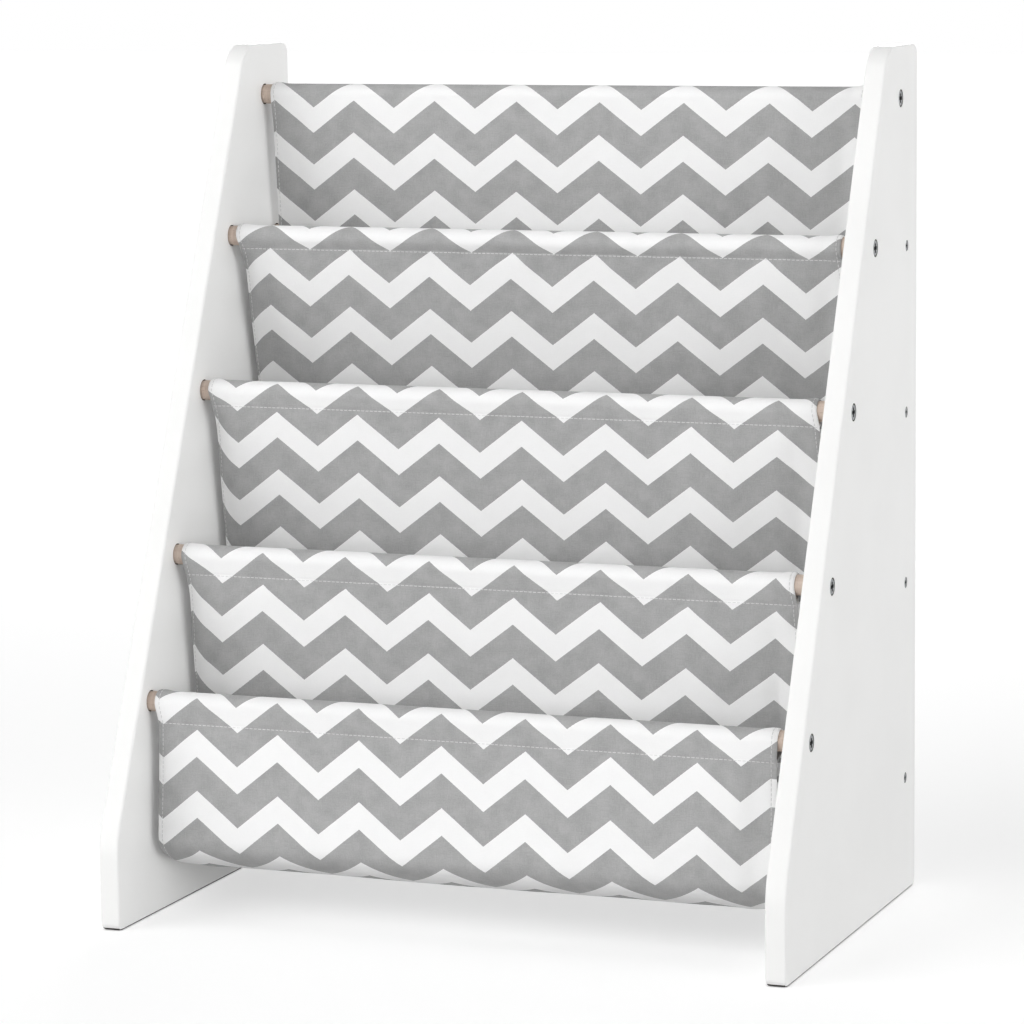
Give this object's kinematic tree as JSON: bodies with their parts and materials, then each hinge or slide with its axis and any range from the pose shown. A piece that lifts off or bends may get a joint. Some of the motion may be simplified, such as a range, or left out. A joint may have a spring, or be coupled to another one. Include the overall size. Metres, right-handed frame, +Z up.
{
  "type": "sling bookshelf",
  "caption": "Low child's bookshelf: two slanted white side panels joined by round dowels that carry tiers of hung cloth pockets for books standing face out.",
  "frame": {"origin": "on the floor, under the middle of the shelf's width and depth", "axes": "+Z up, -Y the front that books are taken from, +X to the right seen from the front"},
  "size_m": [0.61, 0.385, 0.74],
  "materials": {
    "white_paint": "satin white paint on fibreboard",
    "beech": "bare sanded beech",
    "zigzag_canvas": "woven polyester canvas, grey and white zigzag print",
    "zinc_screw": "zinc plated",
    "insert_nut": "plain"
  },
  "bodies": {
    "root": {"left_side_panel": "white_paint", "right_side_panel": "white_paint", "front_dowel_1": "beech", "front_dowel_2": "beech", "front_dowel_3": "beech", "front_dowel_4": "beech", "front_dowel_5": "beech", "rear_dowel_2": "beech", "rear_dowel_3": "beech", "rear_dowel_4": "beech", "rear_dowel_5": "beech", "back_cloth": "zigzag_canvas", "sling_2": "zigzag_canvas", "sling_3": "zigzag_canvas", "sling_4": "zigzag_canvas", "sling_5": "zigzag_canvas", "front_screw_left_1": "zinc_screw", "insert_nut_left_1": "insert_nut", "front_screw_left_2": "zinc_screw", "insert_nut_left_2": "insert_nut", "front_screw_left_3": "zinc_screw", "insert_nut_left_3": "insert_nut", "front_screw_left_4": "zinc_screw", "insert_nut_left_4": "insert_nut", "front_screw_left_5": "zinc_screw", "insert_nut_left_5": "insert_nut", "rear_screw_left_2": "zinc_screw", "rear_screw_left_3": "zinc_screw", "rear_screw_left_4": "zinc_screw", "rear_screw_left_5": "zinc_screw", "front_screw_right_1": "zinc_screw", "insert_nut_right_1": "insert_nut", "front_screw_right_2": "zinc_screw", "insert_nut_right_2": "insert_nut", "front_screw_right_3": "zinc_screw", "insert_nut_right_3": "insert_nut", "front_screw_right_4": "zinc_screw", "insert_nut_right_4": "insert_nut", "front_screw_right_5": "zinc_screw", "insert_nut_right_5": "insert_nut", "rear_screw_right_2": "zinc_screw", "rear_screw_right_3": "zinc_screw", "rear_screw_right_4": "zinc_screw", "rear_screw_right_5": "zinc_screw"}
  },
  "joints": []
}
